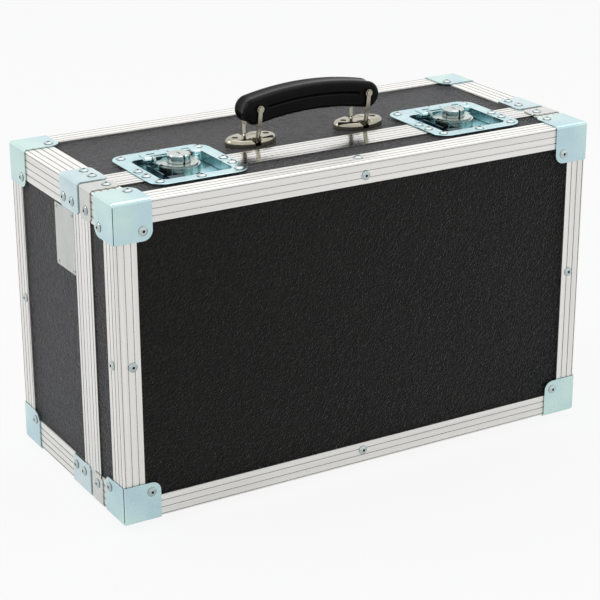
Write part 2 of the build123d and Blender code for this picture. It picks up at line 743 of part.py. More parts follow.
def latch_hook():
    """Slider round the cam with a side rib, a riser and the claw over the keeper's lip."""
    plate = area((-HOOK_LEFT, HOOK_RIGHT), (-HOOK_FRONT + HOOK_RISER_T, HOOK_REAR))
    cam_y = ROTOR_Y + CAM_THROW
    half_x, half_y = CAM_R + CAM_THROW + HOOK_CAM_PLAY / 2, CAM_R + HOOK_CAM_PLAY
    plate -= area((-half_x, half_x), (cam_y - half_y, cam_y + half_y))
    hook = Pos(0, 0, HOOK_BOTTOM) * extrude(plate, HOOK_T)
    rib_ys = (-HOOK_FRONT + HOOK_RISER_T, HOOK_REAR)
    hook += block((-HOOK_LEFT, -HOOK_LEFT + HOOK_RIB_T), rib_ys, (HOOK_BOTTOM, HOOK_RIB_TOP))
    xs = (-CLAW_LEFT, -CLAW_RIGHT)
    hook += block(xs, (-HOOK_FRONT, -HOOK_FRONT + HOOK_RISER_T), (HOOK_BOTTOM, CLAW_TOP))
    hook += block(xs, (-CLAW_TIP, -HOOK_FRONT + HOOK_RISER_T), (CLAW_BOTTOM, CLAW_TOP))
    return hook


def at_latch(shape, x0):
    return Pos(x0, Y_SPLIT, Z_TOP) * shape


# Hinges
HINGE_Z = Z_BOT - HINGE_DROP


def hinge_leaf(x0, sy, odd):
    """Leaf on the underside with its share of the knuckles; sy is 1 on the base and -1 on the lid."""
    step = HINGE_L / HINGE_KNUCKLES
    x_start = x0 - HINGE_L / 2
    clear = HINGE_BARREL_R + 4 * HINGE_PLAY
    leaf_zs = (Z_BOT, Z_BOT - HINGE_LEAF_T)
    ys = (Y_SPLIT + sy * clear, Y_SPLIT + sy * HINGE_LEAF_W)
    leaf = block((x_start, x_start + HINGE_L), ys, leaf_zs)
    for n in range(HINGE_KNUCKLES):
        if n % 2 == odd:
            xs = (x_start + n * step + HINGE_PLAY, x_start + (n + 1) * step - HINGE_PLAY)
            barrel = rod((xs[0], Y_SPLIT, HINGE_Z), (xs[1], Y_SPLIT, HINGE_Z), HINGE_BARREL_R)
            web = block(xs, (Y_SPLIT, Y_SPLIT + sy * HINGE_BARREL_R), (HINGE_Z, Z_BOT - HINGE_LEAF_T / 2))
            tab = block(xs, (Y_SPLIT + sy * HINGE_PLAY, Y_SPLIT + sy * (clear + 1)), leaf_zs)
            leaf += barrel + web + tab
    bore = HINGE_PIN_R + (HINGE_PIN_FIT if odd else PLATE_GAP / 2)
    leaf -= rod((x_start - 1, Y_SPLIT, HINGE_Z), (x_start + HINGE_L + 1, Y_SPLIT, HINGE_Z), bore)
    holes = [
        rivet_hole((x0 + k * HINGE_RIVET_PITCH, Y_SPLIT + sy * HINGE_RIVET_Y, Z_BOT), DOWN) for k in (-1, 0, 1)
    ]
    return leaf - holes


def hinge_pin(x0):
    half = HINGE_L / 2
    return rod((x0 - half, Y_SPLIT, HINGE_Z), (x0 + half, Y_SPLIT, HINGE_Z), HINGE_PIN_R)


# Feet
FOOT_SCREW_Z = FOOT_BORE_DEEP


def foot(x, y):
    """Tapered rubber foot on the bottom panel, bored from below for its screw."""
    height = Z_BOT + PANEL_OUT
    body = loft([Circle(FOOT_BOTTOM_R), Pos(0, 0, height) * Circle(FOOT_TOP_R)])
    body -= extrude(Circle(FOOT_BORE_R), FOOT_BORE_DEEP)
    body -= extrude(Circle(SCREW_R + RIVET_FIT), height)
    return Pos(x, y) * body


def foot_screw(x, y):
    head = Pos(0, 0, FOOT_SCREW_Z - FOOT_SCREW_HEAD_H) * extrude(Circle(FOOT_SCREW_HEAD_R), FOOT_SCREW_HEAD_H)
    shank = Pos(0, 0, FOOT_SCREW_Z) * extrude(Circle(SCREW_R), Z_BOT + PANEL_IN - FOOT_SCREW_Z)
    slot = block((-ALL, ALL), (-SCREW_SLOT_W / 2, SCREW_SLOT_W / 2), (0, FOOT_SCREW_Z - FOOT_SCREW_HEAD_H + 1))
    return Pos(x, y) * (head + shank - slot)


def foot_hole(x, y):
    return Pos(x, y, Z_BOT) * extrude(Circle(SCREW_R + RIVET_FIT), LEG_IN)


LID_FEET = [(sx * FOOT_X, Y_FRONT + LID_FOOT_IN) for sx in (-1, 1)]
BASE_FEET = [(sx * FOOT_X, Y_REAR - BASE_FOOT_IN) for sx in (-1, 1)]


# Handle, drawn with its pivot at the origin: x along the grip, y across it
HANDLE_SEAT = Z_TOP - PANEL_OUT
PIVOT_Z = HANDLE_SEAT + LOOP_AXIS
PIVOT_Y = Y_SPLIT + HANDLE_FROM_SPLIT
LEAN_X = LOOP_LEN * sin(radians(LOOP_LEAN))
LEAN_Z = LOOP_LEN * cos(radians(LOOP_LEAN))
SCREW_XS = [sx * HANDLE_HALF + k * BRACKET_SCREW_X for sx in (-1, 1) for k in (-1, 1)]


def bracket():
    """Domed oval bracket with a saddle over the loop's foot and open slots for its legs."""
    body = extrude(Ellipse(BRACKET_L / 2, BRACKET_W / 2), BRACKET_H)
    body = fillet(body.edges().sort_by(Axis.Z)[-1], BRACKET_EDGE_R)
    flare = BRACKET_SLOT + BRACKET_W
    outline = Polygon(
        (-BRACKET_SLOT, BRACKET_FLOOR),
        (BRACKET_SLOT, BRACKET_FLOOR),
        (BRACKET_SLOT, LOOP_AXIS),
        (flare, LOOP_AXIS + BRACKET_W),
        (-flare, LOOP_AXIS + BRACKET_W),
        (-BRACKET_SLOT, LOOP_AXIS),
        align=None,
    )
    body -= Pos(0, -BRACKET_SADDLE_FRONT) * extrude(Plane.XZ * outline, BRACKET_W)
    body -= Pos(0, BRACKET_SADDLE_REAR) * extrude(Plane.XZ * outline, -BRACKET_W)
    body -= rod((0, -BRACKET_W, LOOP_AXIS), (0, BRACKET_W, LOOP_AXIS), LOOP_R + LOOP_FIT)
    for sx in (-1, 1):
        sink = Pos(sx * BRACKET_SCREW_X, 0, BRACKET_H - SCREW_SINK - SCREW_HEAD_H)
        body -= sink * extrude(Circle(SCREW_HEAD_R + RIVET_FIT), ALL)
        body -= sink * extrude(Circle(SCREW_R + RIVET_FIT), -ALL)
    return body


def bracket_screw():
    """Slotted screw sunk in the bracket and through the panel."""
    under = BRACKET_H - SCREW_SINK - SCREW_HEAD_H
    head = Pos(0, 0, under) * extrude(Circle(SCREW_HEAD_R), SCREW_HEAD_H)
    head -= block(
        (-ALL, ALL), (-SCREW_SLOT_W / 2, SCREW_SLOT_W / 2), (under + SCREW_HEAD_H - SCREW_SLOT_DEEP, ALL)
    )
    return head + Pos(0, 0, under) * extrude(Circle(SCREW_R), -(under + PANEL_T))


def loop():
    """Wire loop: a foot along y, two legs that flare outwards and a flat eye on each."""
    neck_z = LOOP_LEN - EYE_NECK + EYE_T / 2
    points = [(0, -LOOP_TOP, neck_z), (0, -LOOP_FOOT, 0), (0, LOOP_FOOT, 0), (0, LOOP_TOP, neck_z)]
    path = FilletPolyline(points, radius=LOOP_BEND)
    wire = sweep(Plane(origin=path @ 0, z_dir=path % 0) * Circle(LOOP_R), path)
    for sy in (-1, 1):
        ys = (sy * (LOOP_TOP - EYE_T / 2), sy * (LOOP_TOP + EYE_T / 2))
        wire += rod((0, ys[0], LOOP_LEN), (0, ys[1], LOOP_LEN), EYE_R)
        wire += block((-LOOP_R, LOOP_R), ys, (LOOP_LEN - EYE_NECK, LOOP_LEN))
    wire -= rod((0, -ALL, LOOP_LEN), (0, ALL, LOOP_LEN), GRIP_PIN_R + GRIP_PIN_FIT)
    return wire


ARC_R = (HANDLE_HALF**2 + GRIP_RISE**2) / (2 * GRIP_RISE)
ARC_DROP = ARC_R - GRIP_RISE
GRIP_ANGLE = degrees(asin((HANDLE_HALF + GRIP_OVER - GRIP_HALF_H) / ARC_R))
GROOVE_ANGLE = degrees(asin(GRIP_GROOVE_HALF / ARC_R))
CORE_ANGLE = degrees(asin(HANDLE_HALF / ARC_R))


def arched(section, half_angle):
    """Section in x = 0 swung to both sides about the arch's centre, with the pins' line at z = 0."""
    solid = revolve(Plane.YZ * (Pos(0, ARC_R) * section), Axis.Y, 2 * half_angle)
    return Pos(0, 0, -ARC_DROP) * (Rot(0, -half_angle, 0) * solid)


def on_arch(radius, angle):
    """Point at a radius from the arch's centre, in the upright plane along the grip."""
    return Vector(radius * sin(angle), radius * cos(angle) - ARC_DROP)


def grip_bar():
    """Arched bar with full round ends, flat sides and rounded rims."""
    out = radians(GRIP_ANGLE)
    top, low = ARC_R + GRIP_HALF_H, ARC_R - GRIP_HALF_H
    tips = [
        on_arch(ARC_R, side * out) + Vector(side * cos(out), -sin(out)) * GRIP_HALF_H for side in (-1, 1)
    ]
    outline = make_face(
        [
            ThreePointArc(on_arch(top, -out), on_arch(top, 0), on_arch(top, out)),
            ThreePointArc(on_arch(top, out), tips[1], on_arch(low, out)),
            ThreePointArc(on_arch(low, out), on_arch(low, 0), on_arch(low, -out)),
            ThreePointArc(on_arch(low, -out), tips[0], on_arch(top, -out)),
        ]
    )
    bar_form = extrude(Plane.XZ * outline, GRIP_HALF_W, both=True)
    sides = bar_form.faces().sort_by(Axis.Y)
    return fillet(sides[0].edges() + sides[-1].edges(), GRIP_EDGE_R)


def grip_valley():
    """Tools for the shallow valley that runs between the rims, all round the bar."""
    far = GRIP_HALF_H + GRIP_VALLEY_R - GRIP_VALLEY
    tools = [arched(Pos(0, side * far) * Circle(GRIP_VALLEY_R), GRIP_ANGLE) for side in (-1, 1)]
    turn = revolve(Plane.YZ * (Pos(0, far) * Circle(GRIP_VALLEY_R)), Axis.Y, 180)
    for side in (-1, 1):
        centre = on_arch(ARC_R, side * radians(GRIP_ANGLE))
        start = GRIP_ANGLE if side > 0 else 180 - GRIP_ANGLE
        tools.append(Pos(centre.X, 0, centre.Y) * (Rot(0, start, 0) * turn))
    return tools


def grip_groove():
    """Tools for the groove along each side."""
    notch = Rot(0, 0, 45) * Rectangle(GRIP_GROOVE * sqrt(2), GRIP_GROOVE * sqrt(2))
    return [arched(Pos(side * GRIP_HALF_W, GRIP_GROOVE_UP) * notch, GROOVE_ANGLE) for side in (-1, 1)]


PIN_ENDS = LOOP_TOP + EYE_T / 2 + SIDE_PLAY / 3


def grip():
    """Moulded grip with room inside for its steel strip and bores for the cross pins."""
    body = Pos(0, 0, -GRIP_DROP) * (grip_bar() - grip_valley() - grip_groove())
    body -= core_form(CORE_FIT)
    for sx in (-1, 1):
        body -= rod((sx * HANDLE_HALF, -ALL, 0), (sx * HANDLE_HALF, ALL, 0), GRIP_PIN_R + PLATE_GAP / 2)
    return body


def core_form(grow):
    """Steel strip with a rolled eye at each cross pin, grown all over by half of a fit."""
    form = arched(Rectangle(CORE_W + grow, CORE_T + grow), CORE_ANGLE)
    half = (CORE_W + grow) / 2
    for sx in (-1, 1):
        form += rod((sx * HANDLE_HALF, -half, 0), (sx * HANDLE_HALF, half, 0), CORE_EYE_R + grow / 2)
    return form


def grip_core():
    strip = core_form(0)
    for sx in (-1, 1):
        strip -= rod((sx * HANDLE_HALF, -ALL, 0), (sx * HANDLE_HALF, ALL, 0), GRIP_PIN_R + PLATE_GAP / 2)
    return strip


def grip_pin():
    """Cross pin through the grip and both eyes, headed at both ends."""
    pin = rod((0, -PIN_ENDS, 0), (0, PIN_ENDS, 0), GRIP_PIN_R)
    for sy in (-1, 1):
        pin += rod((0, sy * PIN_ENDS, 0), (0, sy * (PIN_ENDS + GRIP_PIN_HEAD_T), 0), GRIP_PIN_HEAD_R)
    return pin


def at_grip(shape):
    return Pos(LEAN_X, PIVOT_Y, PIVOT_Z + LEAN_Z) * shape


# Foam lining
def lining(y_open, y_back, sy):
    """Pads on four walls and on the closed end; sy is 1 in the base and -1 in the lid."""
    side_end = y_back - sy * FOAM_T
    ys = (y_open, side_end - sy * FOAM_GAP)
    xs = (-X_SIDE + FOAM_OUT, X_SIDE - FOAM_OUT)
    low, high = Z_BOT + FOAM_OUT, Z_TOP - FOAM_OUT
    zs = (low + FOAM_T + FOAM_GAP, high - FOAM_T - FOAM_GAP)
    end = block(xs, (y_back, side_end), (low, high))
    top = block(xs, ys, (high, high - FOAM_T))
    bottom = block(xs, ys, (low, low + FOAM_T))
    left = block((xs[0], xs[0] + FOAM_T), ys, zs)
    right = block((xs[1], xs[1] - FOAM_T), ys, zs)
    room = DISH_T + PAN_ROOM
    pocket_zs = (Z_TOP, Z_TOP + DISH_FLOOR - DISH_T - WASHER_T - PEEN_T - 4 * HOOK_PLAY)
    pocket_ys = (Y_SPLIT - PAN_FRONT - room, Y_SPLIT + PAN_REAR + room)
    for x0 in (-LATCH_X, LATCH_X):
        top -= block((x0 - PAN_HALF - room, x0 + PAN_HALF + room), pocket_ys, pocket_zs)
    return [end, top, bottom, left, right]


# Nameplate
def nameplate():
    """Bare plate on the left side panel with small rivets in its corners."""
    x = -X_SIDE + PANEL_OUT
    y_mid = Y_SPLIT + PLATE_NAME_FROM_SPLIT + PLATE_NAME_W / 2
    z_mid = Z_TOP - PLATE_NAME_TOP_IN - PLATE_NAME_H / 2
    plane = Plane(origin=(x, y_mid, z_mid), x_dir=(0, -1, 0), z_dir=(-1, 0, 0))
    plate = extrude(RectangleRounded(PLATE_NAME_W, PLATE_NAME_H, PLATE_NAME_R), PLATE_NAME_T)
    du = PLATE_NAME_W / 2 - PLATE_NAME_RIVET_IN
    dv = PLATE_NAME_H / 2 - PLATE_NAME_RIVET_IN
    places = [(su * du, sv * dv) for su in (-1, 1) for sv in (-1, 1)]
    holes, rivets = [], []
    for u, v in places:
        hole = Pos(u, v, PLATE_NAME_T) * extrude(Circle(SMALL_SHANK_R + RIVET_FIT), -PANEL_T)
        holes.append(hole)
        shank = Pos(u, v, PLATE_NAME_T) * extrude(Circle(SMALL_SHANK_R), -PANEL_T)
        head = domed_head(SMALL_RIVET_R, SMALL_RIVET_H, SMALL_RIVET_H / 4, SMALL_RIVET_R / 3, SMALL_RIVET_H / 4)
        rivets.append(plane.location * (Pos(u, v, PLATE_NAME_T) * head + shank))
    plate_holes = [plane.location * hole for hole in holes]
    return plane.location * plate - plate_holes, rivets, plate_holes


def build():
    """Every named sub-part."""
    parts = {}
    pans = pan_holes()

    lid_walls = wall_panels(Y_FRONT + PANEL_INSET, Y_SPLIT - LID_PANEL_END)
    lid_foot_holes = [foot_hole(*place) for place in LID_FEET]
    parts["lid_front_panel"] = face_panel(-1) - LID_HOLES
    parts["lid_left_panel"] = lid_walls["left"] - LID_HOLES
    parts["lid_right_panel"] = lid_walls["right"] - LID_HOLES
    parts["lid_top_panel"] = lid_walls["top"] - pans - LID_HOLES
    parts["lid_bottom_panel"] = lid_walls["bottom"] - LID_HOLES - lid_foot_holes

    plate, plate_rivets, plate_holes = nameplate()
    base_walls = wall_panels(Y_SPLIT + BASE_PANEL_START, Y_REAR - PANEL_INSET)
    base_foot_holes = [foot_hole(*place) for place in BASE_FEET]
    screw_holes = [
        Pos(x, PIVOT_Y, Z_TOP) * extrude(Circle(SCREW_R + RIVET_FIT), -LEG_IN) for x in SCREW_XS
    ]
    parts["base_back_panel"] = face_panel(1) - BASE_HOLES
    parts["base_left_panel"] = base_walls["left"] - BASE_HOLES - plate_holes
    parts["base_right_panel"] = base_walls["right"] - BASE_HOLES
    parts["base_top_panel"] = base_walls["top"] - pans - BASE_HOLES - screw_holes
    parts["base_bottom_panel"] = base_walls["bottom"] - BASE_HOLES - base_foot_holes

    front_ring = ring(angle_section(FLANGE_FRONT), Y_FRONT, (0, 1, 0))
    rear_ring = ring(angle_section(FLANGE_REAR), Y_REAR, (0, -1, 0))
    lid_closure = ring(closure_section(SPLIT_GAP, True), Y_SPLIT, (0, -1, 0))
    base_closure = ring(closure_section(SPLIT_GAP + GROOVE_DEEP, False), Y_SPLIT, (0, 1, 0))
    parts["lid_front_edging"] = group(cut_all(front_ring, LID_HOLES))
    parts["lid_depth_edging"] = group(
        cut_all(depth_edges(Y_FRONT + FLANGE_FRONT, Y_SPLIT - FLANGE_CLOSURE), LID_HOLES)
    )
    parts["lid_closure_tongue"] = group(cut_all(lid_closure, LID_HOLES + pans))
    parts["base_rear_edging"] = group(cut_all(rear_ring, BASE_HOLES))
    parts["base_depth_edging"] = group(
        cut_all(depth_edges(Y_SPLIT + FLANGE_CLOSURE, Y_REAR - FLANGE_REAR), BASE_HOLES)
    )
    parts["base_closure_groove"] = group(cut_all(base_closure, BASE_HOLES + pans))

    parts["lid_corners"] = group(cut_all([corner(sx, -1, sz) for sx, sz in EIGHTHS], LID_HOLES))
    parts["base_corners"] = group(cut_all([corner(sx, 1, sz) for sx, sz in EIGHTHS], BASE_HOLES))
    lid_braces = [brace(sx, sz, LID_BRACE_START, LID_BRACE_END, -1) for sx, sz in EIGHTHS]
    base_braces = [brace(sx, sz, BASE_BRACE_START, BASE_BRACE_END, 1) for sx, sz in EIGHTHS]
    parts["lid_braces"] = group(cut_all(lid_braces, LID_HOLES))
    parts["base_braces"] = group(cut_all(base_braces, BASE_HOLES))
    parts["lid_rivets"] = group(rivets_of(LID_SETS))
    parts["base_rivets"] = group(rivets_of(BASE_SETS))

    for side, x0 in (("left", -LATCH_X), ("right", LATCH_X)):
        parts[f"{side}_latch_dish"] = at_latch(latch_dish(), x0) - BASE_HOLES
        parts[f"{side}_latch_keeper"] = at_latch(latch_keeper(), x0) - LID_HOLES
        parts[f"{side}_latch_rotor"] = at_latch(latch_rotor(), x0)
        parts[f"{side}_latch_washer"] = at_latch(latch_washer(), x0)
        parts[f"{side}_latch_wing"] = at_latch(latch_wing(), x0)
        parts[f"{side}_latch_wing_pins"] = group([at_latch(pin, x0) for pin in latch_wing_pins()])
        parts[f"{side}_latch_hook"] = at_latch(latch_hook(), x0)

    hinge_xs = (-HINGE_X, HINGE_X)
    parts["base_hinge_leaves"] = group([hinge_leaf(x, 1, 0) for x in hinge_xs])
    parts["lid_hinge_leaves"] = group([hinge_leaf(x, -1, 1) for x in hinge_xs])
    parts["hinge_pins"] = group([hinge_pin(x) for x in hinge_xs])

    parts["lid_feet"] = group([foot(*place) for place in LID_FEET])
    parts["base_feet"] = group([foot(*place) for place in BASE_FEET])
    parts["lid_foot_screws"] = group([foot_screw(*place) for place in LID_FEET])
    parts["base_foot_screws"] = group([foot_screw(*place) for place in BASE_FEET])

    lean = Rot(0, LOOP_LEAN, 0)
    for side, x0 in (("left", -HANDLE_HALF), ("right", HANDLE_HALF)):
        parts[f"handle_{side}_bracket"] = Pos(x0, PIVOT_Y, HANDLE_SEAT) * bracket()
        parts[f"handle_{side}_loop"] = Pos(x0, PIVOT_Y, PIVOT_Z) * (lean * loop())
    parts["handle_screws"] = group([Pos(x, PIVOT_Y, HANDLE_SEAT) * bracket_screw() for x in SCREW_XS])
    parts["handle_grip"] = at_grip(grip())
    parts["handle_grip_core"] = at_grip(grip_core())
    parts["handle_grip_pins"] = group([at_grip(Pos(sx * HANDLE_HALF) * grip_pin()) for sx in (-1, 1)])

    parts["nameplate"] = plate
    parts["nameplate_rivets"] = group(plate_rivets)

    lid_open = Y_SPLIT - LID_PANEL_END
    base_open = Y_SPLIT + SPLIT_GAP + ALU_T
    parts["lid_foam"] = group(lining(lid_open, Y_FRONT + FOAM_OUT, -1))
    parts["base_foam"] = group(lining(base_open, Y_REAR - FOAM_OUT, 1))
    return parts


os.makedirs("parts", exist_ok=True)
for name, shape in build().items():
    export_step(shape, f"parts/{name}.step")
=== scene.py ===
import math

import bpy
from mathutils import Matrix, Vector, noise


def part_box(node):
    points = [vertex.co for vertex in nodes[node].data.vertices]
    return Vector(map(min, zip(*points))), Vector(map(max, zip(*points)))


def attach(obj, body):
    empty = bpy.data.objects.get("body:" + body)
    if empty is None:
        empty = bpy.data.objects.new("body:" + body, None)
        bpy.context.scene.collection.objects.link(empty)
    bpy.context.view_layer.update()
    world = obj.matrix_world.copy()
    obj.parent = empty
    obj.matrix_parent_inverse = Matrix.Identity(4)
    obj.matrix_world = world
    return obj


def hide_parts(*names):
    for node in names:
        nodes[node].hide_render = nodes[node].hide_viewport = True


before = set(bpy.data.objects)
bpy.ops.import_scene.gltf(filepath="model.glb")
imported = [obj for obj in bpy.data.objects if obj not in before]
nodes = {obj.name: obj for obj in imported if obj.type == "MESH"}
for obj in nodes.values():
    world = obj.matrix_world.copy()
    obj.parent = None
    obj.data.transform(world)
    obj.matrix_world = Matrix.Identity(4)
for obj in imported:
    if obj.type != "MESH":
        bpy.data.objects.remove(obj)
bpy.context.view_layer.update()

# Camera that was fitted to the edges of the case in the photo: metres, degrees, millimetres
CAM_AT = (-0.9005, -1.5312, 0.8216)
CAM_AZ = -30.355
CAM_EL = 20.895
CAM_ROLL = -0.168
LENS = 112.37
SENSOR = 36.0
CLIP_START = 0.05
CLIP_END = 50.0

# The front ring of edging, whose level bars and uprights are drawn along their own length
RING_LOW, RING_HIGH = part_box("lid_front_edging")
CASE_HALF_W = RING_HIGH.x
CASE_HALF_H = (RING_HIGH.z - RING_LOW.z) / 2
MID_Z = (RING_HIGH.z + RING_LOW.z) / 2

# Colours that more than one material uses
# This near black is what the painted shade in narrow gaps fades to.
GAP_SHADE = (0.004, 0.005, 0.006)
BLUE_GREEN = ((0.50, 0.70, 0.80), (0.66, 0.88, 0.80))

# Sockets of the Mix node in its colour form
MIX_FACTOR, MIX_FIRST, MIX_SECOND, MIX_RESULT = 0, 6, 7, 2

# Foam pads: lengths in metres, waves per metre, and how far the waves' middle sinks in wave depths
PAD_VOXEL = 0.0034
PAD_RELAX = 0.6
PAD_PASSES = 6
PAD_BROAD_WAVES = 24.0
PAD_FINE_WAVES = 60.0
PAD_FINE_SHARE = 0.5
PAD_WAVE_DEPTH = 0.0003
PAD_SINK = 0.9

# Studio: the glows are the floor's share of plain white for rays that see it, and what the camera adds
FLOOR_SIZE = 14.0
FLOOR_TONE = (0.82, 0.82, 0.82, 1)
FLOOR_GLOW = 0.55
FLOOR_CAMERA_GLOW = 0.34
SKY_TONE = (0.95, 0.97, 1.0, 1)
SKY_LIGHT = 0.55
WHITE = (1, 1, 1, 1)


# Node graph helpers
class Graph:
    """Short way to build a node tree."""

    def __init__(self, tree):
        self.tree = tree
        self.tree.nodes.clear()

    def node(self, kind, **settings):
        made = self.tree.nodes.new(kind)
        for key, value in settings.items():
            setattr(made, key, value)
        return made

    def link(self, source, target):
        self.tree.links.new(source, target)

    def put(self, socket, value):
        """Links or sets one socket."""
        if isinstance(value, bpy.types.NodeSocket):
            self.link(value, socket)
        else:
            socket.default_value = value

    def feed(self, node, **values):
        """Links or sets a node's inputs by name, with spaces written as underscores."""
        for key, value in values.items():
            self.put(node.inputs[key.replace("_", " ")], value)
        return node

    def place(self, scale=(1, 1, 1), rotation=(0, 0, 0)):
        """Object coordinates in metres, turned and scaled on each axis."""
        coords = self.node("ShaderNodeTexCoord")
        mapping = self.node("ShaderNodeMapping")
        self.feed(mapping, Vector=coords.outputs["Object"], Scale=scale, Rotation=rotation)
        return mapping.outputs["Vector"]

    def noise(self, where, scale, detail=3.0, rough=0.5, distortion=0.0):
        made = self.node("ShaderNodeTexNoise")
        self.feed(made, Vector=where, Scale=scale, Detail=detail, Roughness=rough, Distortion=distortion)
        return made.outputs["Fac"]

    def cells(self, where, scale, feature="F1"):
        made = self.node("ShaderNodeTexVoronoi", feature=feature)
        self.feed(made, Vector=where, Scale=scale)
        return made.outputs["Distance"]

    def bent(self, where, scale, reach):
        """The place shifted by noise, by up to the reach, so that cells lose their straight sides."""
        warp = self.feed(self.node("ShaderNodeTexNoise"), Vector=where, Scale=scale, Detail=3.0)
        shift = self.feed(self.node("ShaderNodeVectorMath", operation="SCALE"), Scale=reach)
        self.link(warp.outputs["Color"], shift.inputs[0])
        moved = self.node("ShaderNodeVectorMath", operation="ADD")
        self.link(where, moved.inputs[0])
        self.link(shift.outputs["Vector"], moved.inputs[1])
        return moved.outputs["Vector"]

    def math(self, kind, first, second=0.0):
        made = self.node("ShaderNodeMath", operation=kind)
        for socket, value in zip(made.inputs, (first, second)):
            self.put(socket, value)
        return made.outputs[0]

    def total(self, *parts):
        """The sum of values, each with its weight."""
        weighted = [self.math("MULTIPLY", value, weight) for value, weight in parts]
        result = weighted[0]
        for value in weighted[1:]:
            result = self.math("ADD", result, value)
        return result

    def spread(self, value, between, to=(0.0, 1.0)):
        """The value carried from one range to another, and held at its ends."""
        made = self.node("ShaderNodeMapRange")
        self.feed(made, Value=value, From_Min=between[0], From_Max=between[1], To_Min=to[0], To_Max=to[1])
        return made.outputs["Result"]

    def ramp(self, value, start, end):
        """A colour between two stops, each a position and its colour."""
        made = self.node("ShaderNodeValToRGB")
        self.link(value, made.inputs["Fac"])
        for element, (position, colour) in zip(made.color_ramp.elements, (start, end)):
            element.position = position
            element.color = (*colour, 1)
        return made.outputs["Color"]

    def mix(self, factor, first, second):
        """The first colour where the factor is 0, the second where it is 1."""
        made = self.node("ShaderNodeMix", data_type="RGBA")
        self.put(made.inputs[MIX_FACTOR], factor)
        for index, colour in ((MIX_FIRST, first), (MIX_SECOND, second)):
            self.put(made.inputs[index], (*colour, 1) if isinstance(colour, tuple) else colour)
        return made.outputs[MIX_RESULT]

    def mix_shaders(self, factor, first, second):
        made = self.node("ShaderNodeMixShader")
        for socket, value in zip(made.inputs, (factor, first, second)):
            self.link(value, socket)
        return made.outputs["Shader"]

    def seen(self, rays):
        """1 for rays that see a surface directly, mirrored or through glass, and 0 for the others."""
        direct = self.math("MAXIMUM", rays.outputs["Is Camera Ray"], rays.outputs["Is Glossy Ray"])
        return self.math("MAXIMUM", direct, rays.outputs["Is Transmission Ray"])

    def bump(self, height, strength, depth):
        made = self.node("ShaderNodeBump")
        self.feed(made, Height=height, Strength=strength, Distance=depth)
        return made.outputs["Normal"]

    def edge_mask(self, radius):
        """How far the rounded normal leans from the flat one: 1 on sharp edges, 0 on faces."""
        soft = self.feed(self.node("ShaderNodeBevel", samples=4), Radius=radius)
        plain = self.node("ShaderNodeNewGeometry")
        turned = self.node("ShaderNodeVectorMath", operation="DOT_PRODUCT")
        self.link(soft.outputs["Normal"], turned.inputs[0])
        self.link(plain.outputs["Normal"], turned.inputs[1])
        return self.spread(turned.outputs["Value"], between=(0.995, 0.85))

    def crevice_shade(self, colour, reach, darkest, shut=0.3, clear=0.85):
        """The colour darkened towards near black where ambient occlusion finds narrow gaps: painted
        contact shadow.
        """
        near = self.feed(self.node("ShaderNodeAmbientOcclusion", samples=8), Distance=reach)
        level = self.spread(near.outputs["AO"], between=(shut, clear), to=(darkest, 1.0))
        return self.mix(level, GAP_SHADE, colour)


class Surface(Graph):
    """The node tree of a new material with one principled shader."""

    def __init__(self, name):
        self.material = bpy.data.materials.new(name)
        self.material.use_nodes = True
        super().__init__(self.material.node_tree)
        self.out = self.node("ShaderNodeOutputMaterial")
        self.shader = self.node("ShaderNodeBsdfPrincipled")
        self.link(self.shader.outputs["BSDF"], self.out.inputs["Surface"])


# Materials
def board_material():
    """Black leather-grain laminate: wrinkled pebbles about 2.5 mm wide with fine pores between, and
    painted shade where it meets raised parts.
    """
    pebbles_per_metre = 390.0
    g = Surface("board_laminate")
    where = g.place()
    bent = g.bent(where, scale=190.0, reach=0.002)
    pebble = g.cells(bent, pebbles_per_metre, "SMOOTH_F1")
    crease = g.spread(g.cells(bent, pebbles_per_metre, "DISTANCE_TO_EDGE"), between=(0.0, 0.16))
    ridge = g.spread(g.cells(bent, pebbles_per_metre), between=(0.1, 0.7))
    wrinkle = g.noise(where, scale=170.0, detail=3.0, rough=0.55, distortion=0.9)
    fine = g.noise(where, scale=760.0, detail=3.0, rough=0.65)
    cloud = g.noise(where, scale=9.0, detail=4.0, rough=0.55)
    height = g.total((crease, 1.0), (pebble, -0.8), (wrinkle, 3.4), (fine, 1.3))
    tone = g.total((ridge, 0.5), (fine, 0.3), (cloud, 0.2))
    colour = g.ramp(tone, start=(0.34, (0.0008, 0.0009, 0.0006)), end=(0.85, (0.015, 0.0155, 0.0125)))
    rough = g.spread(g.math("ADD", wrinkle, fine), between=(0.7, 1.3), to=(0.2, 0.32))
    # Painted shade: the board goes near black in a narrow band beside the raised edging and plates.
    colour = g.crevice_shade(colour, reach=0.004, darkest=0.1)
    g.feed(g.shader, Base_Color=colour, Roughness=rough, Specular_IOR_Level=0.12)
    g.feed(g.shader, Sheen_Weight=0.5, Sheen_Roughness=0.17, Sheen_Tint=(0.95, 0.93, 1.0, 1))
    g.feed(g.shader, Normal=g.bump(height, strength=0.85, depth=0.0006))
    return g.material


def ring_noise(g, along, across, detail):
    """Noise stretched along x on the ring's level bars and along z on its uprights."""
    split = g.node("ShaderNodeSeparateXYZ")
    g.link(g.place(), split.inputs[0])
    side_room = g.math("SUBTRACT", CASE_HALF_W, g.math("ABSOLUTE", split.outputs["X"]))
    from_middle = g.math("ABSOLUTE", g.math("SUBTRACT", split.outputs["Z"], MID_Z))
    is_upright = g.math("LESS_THAN", side_room, g.math("SUBTRACT", CASE_HALF_H, from_middle))
    level = g.noise(g.place((along, across, across)), 1.0, detail, rough=0.6)
    upright = g.noise(g.place((across, across, along)), 1.0, detail, rough=0.6)
    return g.total((upright, is_upright), (level, g.math("SUBTRACT", 1.0, is_upright)))


